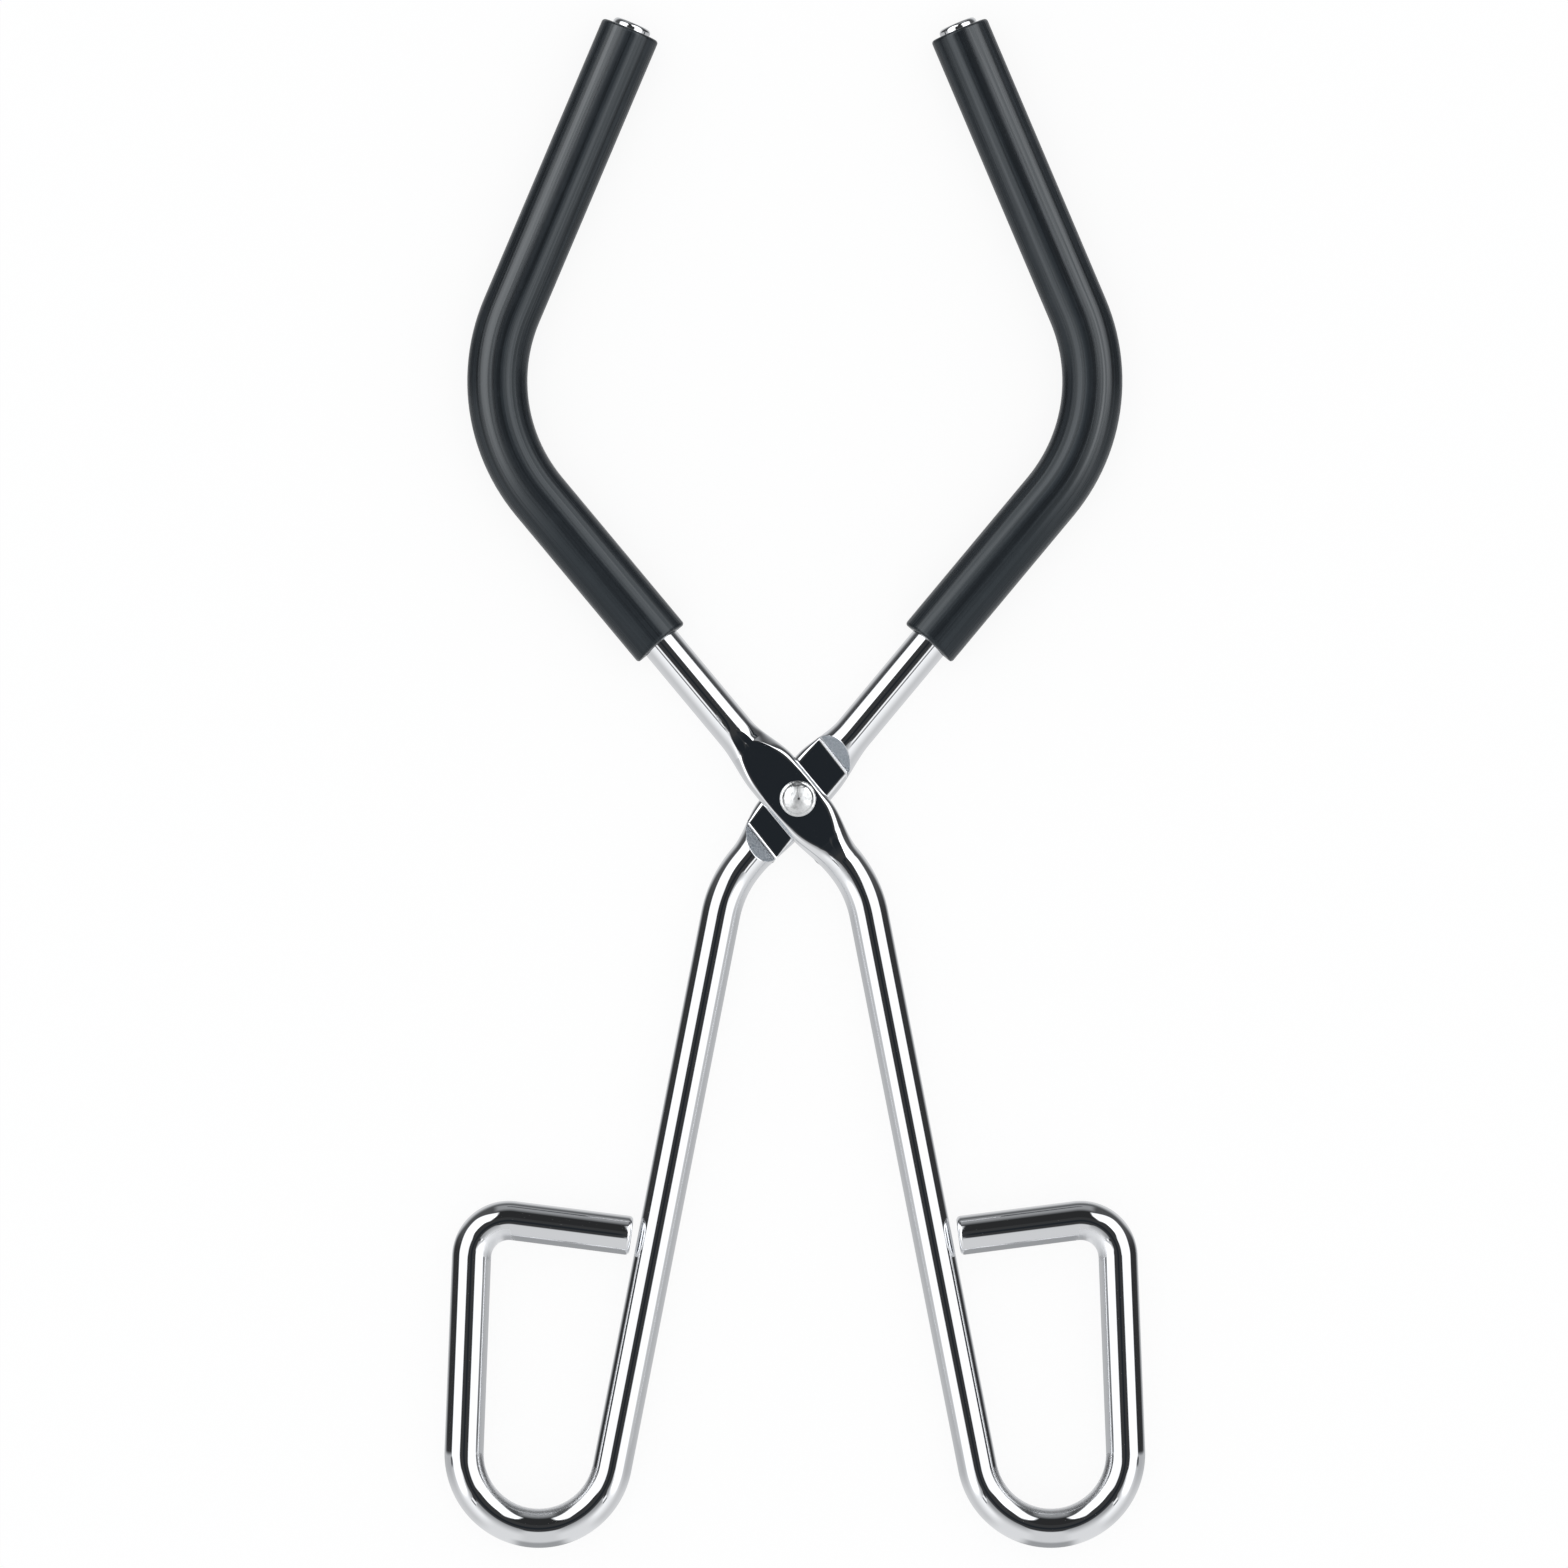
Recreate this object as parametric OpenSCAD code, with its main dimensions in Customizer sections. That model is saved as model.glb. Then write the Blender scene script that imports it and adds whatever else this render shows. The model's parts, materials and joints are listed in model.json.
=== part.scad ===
// Scissor-action jar lifter. Two steel rods, bent alike, cross in a riveted
// half-lap joint. Each rod carries a rubber sleeve on its jaw and is bent into
// an open finger loop at its handle. The lifter lies flat: jaws towards +Y,
// handles towards -Y, rivet head up, sleeves resting on z = 0. The rods mirror
// each other about X = 0 and share one mid-plane. All sizes are millimetres.

/* [Rod] */
// Diameter of the plated steel rod
rod_d = 6.5; // [6:0.1:7]
// Bevel on the rod's two cut ends
rod_end_bevel = 0.7; // [0.3:0.1:1]
// Angle between each rod's crossing stretch and the centre line, as stored
crossing_angle = 39.8; // [37:0.1:45]

/* [Jaw] */
// Straight run from the crossing to the jaw's bend
jaw_lower_run = 66.3; // [60:0.1:75]
// Angle of the jaw's bend
jaw_bend_angle = 62.8; // [55:0.1:66]
// Centre-line radius of the jaw's bend
jaw_bend_radius = 30; // [24:0.5:36]
// Straight run from the bend to the rod's tip
jaw_upper_run = 51.7; // [46:0.1:54]

/* [Handle] */
// Straight run from the crossing to the neck's bend
neck_run = 12.8; // [11:0.1:15]
// Angle of the neck's bend
neck_bend_angle = 28.7; // [27:0.1:30]
// Centre-line radius of the neck's bend
neck_bend_radius = 19.5; // [16:0.5:24]
// Straight run down the shaft of the handle
shaft_run = 93.5; // [85:0.5:100]
// Angle of the bend round the bottom of the finger loop
loop_bend_angle = 171.1; // [170:0.1:172]
// Centre-line radius of the bend round the bottom of the finger loop
loop_bend_radius = 12.4; // [12:0.1:13]
// Straight run up the outer limb of the finger loop
limb_run = 32.3; // [28:0.1:36]
// Angle of the corner at the top of the finger loop
corner_bend_angle = 95.1; // [94:0.1:96]
// Centre-line radius of the corner at the top of the finger loop
corner_bend_radius = 6.2; // [5:0.1:7]
// Straight run of the bar that closes the loop, short of touching the shaft
bar_run = 19.7; // [16:0.1:20]

/* [Pivot] */
// Place of the rivet from the point where the rods' centre lines cross
rivet_offset = [0.5, 0.8]; // [-1:0.1:1]
// Full width that each rod swells to where it is pressed flat
swell_w = 9.1; // [8:0.1:10]
// Length over which the rod swells
swell_len = 22; // [20:0.5:24]
// Sideways shift of the pressed flats from the rod's centre line
flat_shift = 0.3; // [0:0.1:0.5]
// Thickness of each rod between its two pressed flats
flat_t = 3; // [2.6:0.1:3.1]
// Length of the notch that seats the other rod
notch_len = 18.3; // [17:0.1:19]
// Length of each sloping shoulder at the notch's ends
shoulder_run = 2; // [1:0.1:2.5]
// Turn of the notch's shoulders away from square
shoulder_skew = 13; // [0:1:15]
// Length of the outer flat, between its run-outs
outer_flat_len = 17; // [14:0.5:18]
// Gap between the faces that slide on each other
face_gap = 0.1; // [0.05:0.01:0.2]

/* [Rivet] */
// Diameter of the rivet's shank
shank_d = 3.5; // [3:0.1:4]
// Radial clearance of the shank in the turning rod's hole
shank_clearance = 0.05; // [0.02:0.01:0.1]
// Diameter of the rivet's domed head
head_d = 6; // [5.5:0.1:6.5]
// Height of the rivet's domed head
head_h = 1.6; // [1.2:0.1:1.8]
// Height of the cylindrical rim under each dome
rim_h = 0.35; // [0.2:0.05:0.5]
// Diameter of the clenched tail
tail_d = 5.2; // [4.8:0.1:5.6]
// Height of the clenched tail
tail_h = 1.2; // [0.9:0.1:1.4]
// Diameter of the dimple in the middle of the head
dimple_d = 0.8; // [0.5:0.1:1.2]

/* [Sleeve] */
// Outer diameter of the rubber sleeve
sleeve_d = 10; // [9:0.1:11]
// Clearance of the sleeve's bore round the rod
sleeve_clearance = 0.02; // [0.01:0.01:0.05]
// Distance from the crossing to the sleeve's lower end
sleeve_start = 34.6; // [32:0.1:40]
// Length of rod that stands out of the sleeve's tip
tip_show = 1.1; // [0.8:0.1:2]
// Bevel round the sleeve's outer end edges
sleeve_bevel = 0.4; // [0.2:0.1:0.8]

/* [Hidden] */
$fn = 96;
rod_r = rod_d / 2;
sleeve_r = sleeve_d / 2;

// What follows a straight run is a list of steps, each a bend and the straight
// run after it: [bend angle, bend radius, run]. A positive angle bends to the
// left of the way along the rod.
jaw_steps = [[-jaw_bend_angle, jaw_bend_radius, jaw_upper_run - rod_end_bevel]];
handle_steps = [
  [-neck_bend_angle, neck_bend_radius, shaft_run],
  [loop_bend_angle, loop_bend_radius, limb_run],
  [corner_bend_angle, corner_bend_radius, bar_run - rod_end_bevel]
];
// Bends are a hair thicker than the runs, which reach a short lap into them, so
// that they join as one solid
hair = 0.01;
lap = 0.2;

// Headings of the two ends as they leave the crossing, from +X
jaw_heading = 90 + crossing_angle;
handle_heading = jaw_heading - 180;

function along(heading, distance) = distance * [cos(heading), sin(heading)];
// Centre of a bend that starts at point p with the given heading
function bend_centre(p, heading, angle, radius) = p + along(heading + sign(angle) * 90, radius);
// Point where that bend ends
function bend_end(p, heading, angle, radius) =
  bend_centre(p, heading, angle, radius) + along(heading + angle - sign(angle) * 90, radius);

// Highest and lowest reach of the rods and sleeves, measured from the crossing
jaw_knee = bend_end(along(jaw_heading, jaw_lower_run), jaw_heading, -jaw_bend_angle, jaw_bend_radius);
tip_heading = jaw_heading - jaw_bend_angle;
// Top of a round bar's bevelled end
function end_top(distance, r, bevel) =
  (jaw_knee + along(tip_heading, distance))[1]
  + max((r - bevel) * cos(tip_heading), r * cos(tip_heading) - bevel * sin(tip_heading));
top_y = max(end_top(jaw_upper_run - tip_show, sleeve_r, sleeve_bevel),
            end_top(jaw_upper_run, rod_r, rod_end_bevel));
shaft_heading = handle_heading - neck_bend_angle;
shaft_foot = bend_end(along(handle_heading, neck_run), handle_heading, -neck_bend_angle, neck_bend_radius)
  + along(shaft_heading, shaft_run);
loop_centre = bend_centre(shaft_foot, shaft_heading, loop_bend_angle, loop_bend_radius);
bottom_y = loop_centre[1] - loop_bend_radius - rod_r - hair;

// The frame's origin is the middle of the outline, on the surface below
crossing = [0, -(top_y + bottom_y) / 2, sleeve_r + hair];
rivet_at = crossing + [rivet_offset[0], rivet_offset[1], 0];

// Heights of the pressed faces above the mid-plane
inner_face_z = face_gap / 2;
outer_face_z = inner_face_z + flat_t;
head_z = outer_face_z + face_gap / 2;

// Straight round bar from the origin along +X, with a lap behind it and a lap or
// a bevelled end in front
module straight(run, r, bevel) {
  rotate([0, 90, 0]) rotate_extrude() polygon(bevel == 0
    ? [[0, -lap], [r, -lap], [r, run + lap], [0, run + lap]]
    : [[0, -lap], [r, -lap], [r, run], [r - bevel, run + bevel], [0, run + bevel]]);
}

// Round bend that starts at the origin, facing +X
module bend(angle, radius, r) {
  translate([0, sign(angle) * radius, 0]) rotate([0, 0, angle > 0 ? -90 : 90 + angle])
    rotate_extrude(angle = abs(angle)) translate([radius, 0]) circle(r + hair);
}

// Puts its children where that bend ends
module after_bend(angle, radius) {
  translate([0, sign(angle) * radius, 0]) rotate([0, 0, angle])
    translate([0, -sign(angle) * radius, 0]) children();
}

// Round bar that follows the steps from the origin and ends in a bevel
module bent_bar(steps, r, bevel, i = 0) {
  angle = steps[i][0];
  radius = steps[i][1];
  run = steps[i][2];
  last = i == len(steps) - 1;
  bend(angle, radius, r);
  after_bend(angle, radius) {
    straight(run, r, last ? bevel : 0);
    if (!last) translate([run, 0, 0]) bent_bar(steps, r, bevel, i + 1);
  }
}

// Spindle that widens the rod where it is pressed flat, its axis along +X. Its
// ends are thin enough to stay inside the rod.
module swell() {
  rise = swell_w / 2 - rod_r + flat_shift + 0.05;
  arc_r = (pow(swell_len / 2, 2) + pow(rise, 2)) / (2 * rise);
  rotate([0, 90, 0]) rotate_extrude() intersection() {
    translate([swell_w / 2 - arc_r, 0]) circle(arc_r, $fn = 4 * $fn);
    translate([0, -swell_len / 2]) square([swell_w, swell_len]);
  }
}

// What the press takes off the rod's outer side: a flat that runs out at its ends
module outer_flat_cut() {
  run_out = 3;
  rise = rod_r - outer_face_z + 0.1;
  half = outer_flat_len / 2;
  deep = sleeve_r + 1;
  rotate([90, 0, 0]) linear_extrude(2 * swell_w, center = true) polygon([
    [-half - run_out, outer_face_z + rise], [-half, outer_face_z],
    [half, outer_face_z], [half + run_out, outer_face_z + rise],
    [half + run_out, deep], [-half - run_out, deep]
  ]);
}

// Notch that seats the other rod, floored just above the mid-plane
module lap_notch_cut() {
  half = notch_len / 2;
  slope = shoulder_run / (rod_r + inner_face_z);
  deep = swell_w;
  rotate([0, 0, shoulder_skew]) rotate([90, 0, 0])
    linear_extrude(2 * swell_w, center = true) polygon([
      [-half, inner_face_z], [half, inner_face_z],
      [half + slope * deep, inner_face_z - deep],
      [-half - slope * deep, inner_face_z - deep]
    ]);
}

// The rod as it leaves the press, with its notch facing down and no hole yet
module bent_rod() {
  rotate([0, 0, jaw_heading]) difference() {
    union() {
      translate([-neck_run, 0, 0]) straight(neck_run + jaw_lower_run, rod_r, 0);
      translate([jaw_lower_run, 0, 0]) bent_bar(jaw_steps, rod_r, rod_end_bevel);
      rotate([0, 0, 180]) translate([neck_run, 0, 0]) bent_bar(handle_steps, rod_r, rod_end_bevel);
      translate([0, -flat_shift, 0]) swell();
    }
    translate([0, -flat_shift, 0]) {
      outer_flat_cut();
      lap_notch_cut();
    }
  }
}

module rivet_hole(r) {
  translate([rivet_at[0], rivet_at[1], 0]) cylinder(r = r, h = sleeve_d);
}

module front_rod() {
  color("silver") difference() {
    translate(crossing) bent_rod();
    rivet_hole(shank_d / 2 + shank_clearance);
  }
}

module rear_rod() {
  color("lightgray") difference() {
    translate(crossing) rotate([0, 180, 0]) bent_rod();
    rivet_hole(shank_d / 2);
  }
}

// Rubber tube over the jaw of the rod that ends at the left, with a bore that
// runs past both of its ends
module jaw_sleeve() {
  lower_run = jaw_lower_run - sleeve_start;
  upper_run = jaw_upper_run - tip_show;
  bore_r = rod_r + sleeve_clearance;
  rotate([0, 0, jaw_heading]) translate([jaw_lower_run, 0, 0]) difference() {
    union() {
      rotate([0, 0, 180]) straight(lower_run - sleeve_bevel, sleeve_r, sleeve_bevel);
      bent_bar([[-jaw_bend_angle, jaw_bend_radius, upper_run - sleeve_bevel]], sleeve_r, sleeve_bevel);
    }
    union() {
      rotate([0, 0, 180]) straight(lower_run, bore_r, 0);
      bent_bar([[-jaw_bend_angle, jaw_bend_radius, upper_run]], bore_r, 0);
    }
  }
}

module left_jaw_sleeve() {
  color([0.13, 0.14, 0.15]) translate(crossing) jaw_sleeve();
}

module right_jaw_sleeve() {
  color([0.13, 0.14, 0.15]) translate(crossing) rotate([0, 180, 0]) jaw_sleeve();
}

// Low dome on a cylindrical rim, rising from z = 0
module dome(d, h) {
  cap_h = h - rim_h;
  ball_r = (pow(d / 2, 2) + pow(cap_h, 2)) / (2 * cap_h);
  intersection() {
    translate([0, 0, h - ball_r]) sphere(ball_r);
    cylinder(d = d, h = h);
  }
}

module pivot_rivet() {
  color("gainsboro") translate(rivet_at) difference() {
    union() {
      translate([0, 0, head_z]) dome(head_d, head_h);
      translate([0, 0, -outer_face_z]) cylinder(d = shank_d, h = outer_face_z + head_z);
      translate([0, 0, -outer_face_z]) mirror([0, 0, 1]) dome(tail_d, tail_h);
    }
    translate([0, 0, head_z + head_h]) sphere(d = dimple_d);
  }
}

front_rod();
rear_rod();
left_jaw_sleeve();
right_jaw_sleeve();
pivot_rivet();
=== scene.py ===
"""Jar lifter: the finished look of its bent rods, jaw sleeves and rivet, on a pale studio floor.

The rods and sleeves are made straight, as in the workshop, and then bent: a bar or tube is
turned about the X axis, pressed where it needs it, and carried round its centre line by
Geometry Nodes. Lengths are metres. Stations run along a rod from its crossing, positive
towards the jaw.
"""

import json
import math

import bmesh
import bpy
from bpy.props import FloatProperty, FloatVectorProperty, PointerProperty
from mathutils import Matrix, Vector


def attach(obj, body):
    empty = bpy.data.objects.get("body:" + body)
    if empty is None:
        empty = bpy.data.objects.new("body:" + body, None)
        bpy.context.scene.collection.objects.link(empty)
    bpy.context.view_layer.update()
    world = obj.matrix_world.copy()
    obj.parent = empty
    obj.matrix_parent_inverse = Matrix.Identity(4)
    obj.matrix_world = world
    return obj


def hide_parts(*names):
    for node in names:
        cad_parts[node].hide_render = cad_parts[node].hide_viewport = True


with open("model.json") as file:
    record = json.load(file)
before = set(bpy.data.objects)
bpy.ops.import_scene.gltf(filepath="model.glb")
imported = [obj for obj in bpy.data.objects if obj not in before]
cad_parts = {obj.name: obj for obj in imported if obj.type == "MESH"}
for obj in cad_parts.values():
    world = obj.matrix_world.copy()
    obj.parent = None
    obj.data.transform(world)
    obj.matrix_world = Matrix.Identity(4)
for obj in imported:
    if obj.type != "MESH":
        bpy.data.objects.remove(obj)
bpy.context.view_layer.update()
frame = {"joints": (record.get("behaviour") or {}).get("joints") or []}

bl_info = {
    "name": "Jar Lifter",
    "version": (1, 0, 0),
    "blender": (4, 5, 0),
    "location": "3D View > Sidebar > Jar Lifter",
    "description": "Builds a jar lifter of bent plated rods, rubber jaw sleeves and a rivet",
    "category": "Add Mesh",
}

MM = 0.001
UP = Vector((0, 0, 1))

# How finely the pieces are divided
COLUMNS = 192
DRILL_SIDES = 96
ROUND_STEPS = 6
STRAIGHT_STEP = 3 * MM
BEND_STEP = math.radians(2.5)
PRESS_STEP = 0.25 * MM
SHOULDER_STEP = PRESS_STEP * 0.25
PATH_STEP = math.radians(1)
HAIR = 1e-7

# Long enough to pass right through a bar
DRILL_LENGTH = 20 * MM

# Edges sharper than this are shaded as edges
BAR_EDGE = math.radians(38)
RIVET_EDGE = math.radians(50)

# Share of the bar's half width at which a lengthwise line is led along a flat's edge
EDGE_SHARE = 0.72

# The outer flat's outline: how square the leaf is, the tongue that it is drawn out into,
# and the part of the tongue's width that is left on the handle's inner side
LEAF_POWER = 2.3
TONGUE_HALF = 2 * MM
TONGUE_RUN = 8.5 * MM
THIN_TONGUE = 0.62

# How far up the sleeve the hollowing of its lower end dies out
HOLLOW_RUN = 6 * MM

# The punch mark in the middle of the rivet's head
DIMPLE_DEPTH = 0.3 * MM
DIMPLE_OFFSET = 0.15 * MM
DIMPLE_REACH = 4 * DIMPLE_OFFSET

# Half the floor's side, its paint, and the brightness of small parts of the light tent
FLOOR_HALF = 3.0
FLOOR_WHITE = (0.98, 0.98, 0.98)
PALE_GROUND = 0.7
DOORWAY = 0.32
SIDE_GAP = 0.12
LIGHT_STAND = 0.16

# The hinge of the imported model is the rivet's axis, on the rods' mid-plane
PIVOT = Vector(frame["joints"][0]["pos_m"])


# ---------------------------------------------------------------- settings


def length(name, text, mm):
    """A length that a user may set, given here in millimetres."""
    return FloatProperty(name=name, description=text, default=mm * MM, unit="LENGTH", precision=5)


def angle(name, text, degrees):
    """An angle that a user may set, given here in degrees."""
    return FloatProperty(name=name, description=text, default=math.radians(degrees), subtype="ANGLE")


def level(name, text, value):
    """A plain number that a user may set."""
    return FloatProperty(name=name, description=text, default=value, min=0)


def colour(name, text, rgb):
    """A linear colour that a user may set."""
    return FloatVectorProperty(name=name, description=text, default=rgb, subtype="COLOR", min=0, max=1)


class RodSettings(bpy.types.PropertyGroup):
    """Sizes and finish of the two bent rods."""

    diameter: length("Diameter", "Diameter of the plated steel rod", 6.5)
    end_bevel: length("End bevel", "Bevel on the rod's two cut ends", 0.7)
    crossing: angle("Crossing", "Angle between a crossing stretch and the centre line", 39.8)
    jaw_lower: length("Jaw lower run", "Straight run from the crossing to the jaw's bend", 66.3)
    jaw_bend: angle("Jaw bend", "Angle of the jaw's bend", 62.8)
    jaw_radius: length("Jaw bend radius", "Centre-line radius of the jaw's bend", 30)
    jaw_upper: length("Jaw upper run", "Straight run from the bend to the rod's tip", 51.7)
    neck: length("Neck run", "Straight run from the crossing to the neck's bend", 12.8)
    neck_bend: angle("Neck bend", "Angle of the neck's bend", 28.7)
    neck_radius: length("Neck bend radius", "Centre-line radius of the neck's bend", 19.5)
    shaft: length("Shaft run", "Straight run down the shaft of the handle", 93.5)
    loop_bend: angle("Loop bend", "Angle of the bend round the loop's bottom", 171.1)
    loop_radius: length("Loop bend radius", "Centre-line radius round the loop's bottom", 12.4)
    limb: length("Limb run", "Straight run up the outer limb of the loop", 32.3)
    corner_bend: angle("Corner bend", "Angle of the corner at the loop's top", 95.1)
    corner_radius: length("Corner bend radius", "Centre-line radius of that corner", 6.2)
    bar: length("Bar run", "Straight run of the bar that closes the loop", 19.7)
    plating: colour("Plating", "Colour of the bright plating", (0.86, 0.87, 0.885))
    # The darker colour below is painted shade for the notch's sloping shoulders
    scored: colour("Scored plating", "Colour of the notch's scored shoulders", (0.32, 0.36, 0.4))


class PressSettings(bpy.types.PropertyGroup):
    """Sizes of the stretch where each rod is pressed flat and notched."""

    rivet_x: length("Rivet across", "Rivet's place across from the rods' crossing", 0.5)
    rivet_y: length("Rivet along", "Rivet's place along from the rods' crossing", 0.8)
    side_shift: length("Side shift", "Sideways shift of the flats from the centre line", 0.35)
    swell_width: length("Swell width", "Full width of the rod where it is pressed", 9.1)
    swell_shift: length("Swell shift", "Shift of the swelling towards the jaw", 1.5)
    swell_hold: length("Swell hold", "Half length over which the swelling keeps its width", 4.6)
    swell_reach: length("Swell reach", "Half length over which the rod swells at all", 13.8)
    leaf_width: length("Leaf width", "Full width of the outer flat", 7.8)
    leaf_length: length("Leaf length", "Full length of the outer flat", 22)
    leaf_shift: length("Leaf shift", "Shift of the outer flat towards the jaw", 2)
    thickness: length("Thickness", "Thickness between the two pressed faces", 3)
    face_gap: length("Face gap", "Gap between the faces that slide on each other", 0.1)
    notch_width: length("Notch width", "Full width of the notch's floor", 7.2)
    notch_length: length("Notch length", "Length of the notch's floor", 18.5)
    notch_shift: length("Notch shift", "Shift of the notch towards the jaw", 0.95)
    ramp: length("Ramp", "Length of each sloping shoulder", 2.5)
    skew: angle("Shoulder skew", "Turn of the shoulders away from square", 12)
    hole: length("Hole", "Diameter of the rivet's hole", 3.6)


class SleeveSettings(bpy.types.PropertyGroup):
    """Sizes and finish of the rubber jaw sleeves."""

    diameter: length("Diameter", "Outer diameter of the sleeve", 10)
    clearance: length("Clearance", "Clearance of the bore round the rod", 0.02)
    start: length("Start", "Distance from the crossing to the sleeve's lower end", 34.6)
    tip_show: length("Tip shown", "Length of rod that stands out of the sleeve", 1.1)
    lip: length("Lip", "Rounding of the sleeve's outer end edges", 0.55)
    hollow: length("Hollow", "How far the lower end is cut hollow", 0.55)
    rubber: colour("Rubber", "Colour of the black rubber", (0.0155, 0.0187, 0.0222))


class RivetSettings(bpy.types.PropertyGroup):
    """Sizes and finish of the rivet."""

    shank: length("Shank", "Diameter of the shank", 3.5)
    head: length("Head", "Diameter of the domed head", 6)
    head_height: length("Head height", "Height of the domed head", 1.6)
    tail: length("Tail", "Diameter of the clenched tail", 5.2)
    tail_height: length("Tail height", "Height of the clenched tail", 1.2)
    steel: colour("Steel", "Colour of the rivet's nickelled steel", (0.78, 0.79, 0.79))


class StudioSettings(bpy.types.PropertyGroup):
    """The camera's framing and the light tent that the plating mirrors."""

    view_width: length("View width", "Width that the camera sees at the rods", 260.3)
    distance: length("Distance", "Height of the camera above the rods", 2500)
    aim_x: length("Aim across", "Camera's place across", -1.8)
    aim_y: length("Aim along", "Camera's place along", -0.2)
    softbox: level("Softbox edge", "Brightness of the softboxes at their edges", 1.16)
    core: level("Softbox middle", "Brightness of the softboxes in the middle", 2.3)
    walls: level("Near walls", "Brightness of the pale walls on the handles' side", 0.72)
    far_side: level("Far walls", "Brightness of the dark walls on the jaws' side", 0.085)
    hood: level("Hood", "Brightness of the dark hood round the camera", 0.036)
    floor_shade: level("Floor shade", "How much of the floor's brightness a shadow can take", 0.12)


# ---------------------------------------------------------------- node arithmetic


class Field:
    """A number in a node tree, which ordinary arithmetic turns into Math nodes."""

    def __init__(self, tree, socket):
        self.tree = tree
        self.socket = socket

    def math(self, operation, *others):
        node = wired(self.tree, "ShaderNodeMath", self, *others, operation=operation)
        return Field(self.tree, node.outputs[0])

    def __add__(self, other):
        return self.math("ADD", other)

    def __sub__(self, other):
        return self.math("SUBTRACT", other)

    def __mul__(self, other):
        return self.math("MULTIPLY", other)

    def __truediv__(self, other):
        return self.math("DIVIDE", other)

    def __neg__(self):
        return self.math("MULTIPLY", -1)

    __radd__ = __add__
    __rmul__ = __mul__

    def __rsub__(self, other):
        return -self + other

    def size(self):
        return self.math("ABSOLUTE")

    def root(self):
        return self.math("SQRT")

    def at_least(self, other):
        return self.math("MAXIMUM", other)

    def at_most(self, other):
        return self.math("MINIMUM", other)

    def step(self, start, end):
        """Smooth rise from 0 at start to 1 at end. With start past end it falls."""
        return ramp(self.tree, self, start, end, 0, 1)


def plug(tree, value, socket):
    """Links a field or a socket to the socket, or sets the socket to a number."""
    if isinstance(value, Field):
        value = value.socket
    if isinstance(value, bpy.types.NodeSocket):
        tree.links.new(value, socket)
    else:
        socket.default_value = value


def wired(tree, kind, *values, **settings):
    """A node with these settings, and with its inputs set in their own order."""
    node = tree.nodes.new(kind)
    for name, setting in settings.items():
        setattr(node, name, setting)
    for slot, value in zip(node.inputs, values):
        plug(tree, value, slot)
    return node


def ramp(tree, value, start, end, low, high):
    """Smooth change from low to high as the value goes from start to end."""
    values = (value, start, end, low, high)
    node = wired(tree, "ShaderNodeMapRange", *values, interpolation_type="SMOOTHSTEP")
    return Field(tree, node.outputs[0])


def mix(low, high, share):
    """low where share is 0 and high where it is 1."""
    return low + (high - low) * share


def combine(tree, x, y, z):
    return wired(tree, "ShaderNodeCombineXYZ", x, y, z).outputs[0]


def separate(tree, vector):
    return [Field(tree, out) for out in wired(tree, "ShaderNodeSeparateXYZ", vector).outputs]


def vector_math(tree, operation, *vectors):
    return wired(tree, "ShaderNodeVectorMath", *vectors, operation=operation).outputs[0]


def fill(tree, node, **values):
    """Sets the node's inputs by name, underscores standing for spaces."""
    for name, value in values.items():
        plug(tree, value, node.inputs[name.replace("_", " ")])
    return node


def add_node(tree, kind, **values):
    return fill(tree, tree.nodes.new(kind), **values)


# ---------------------------------------------------------------- geometry node trees


def geometry_tree(name, lengths, others=()):
    """A Geometry Nodes tree with a geometry input and output and its named inputs."""
    tree = bpy.data.node_groups.new(name, "GeometryNodeTree")
    tree.interface.new_socket("Geometry", in_out="OUTPUT", socket_type="NodeSocketGeometry")
    tree.interface.new_socket("Geometry", in_out="INPUT", socket_type="NodeSocketGeometry")
    for label in lengths:
        tree.interface.new_socket(label, in_out="INPUT", socket_type="NodeSocketFloat")
    for label, kind in others:
        tree.interface.new_socket(label, in_out="INPUT", socket_type=kind)
    entry = tree.nodes.new("NodeGroupInput")
    leave = tree.nodes.new("NodeGroupOutput")
    return tree, entry.outputs, leave.inputs["Geometry"]


def set_position(tree, geometry, position, selection=None):
    node = add_node(tree, "GeometryNodeSetPosition", Geometry=geometry, Position=position)
    if selection is not None:
        plug(tree, selection, node.inputs["Selection"])
    return node.outputs[0]


def store(tree, geometry, name, value, kind="FLOAT"):
    node = wired(tree, "GeometryNodeStoreNamedAttribute", data_type=kind, domain="POINT")
    return fill(tree, node, Geometry=geometry, Name=name, Value=value).outputs[0]


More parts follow.
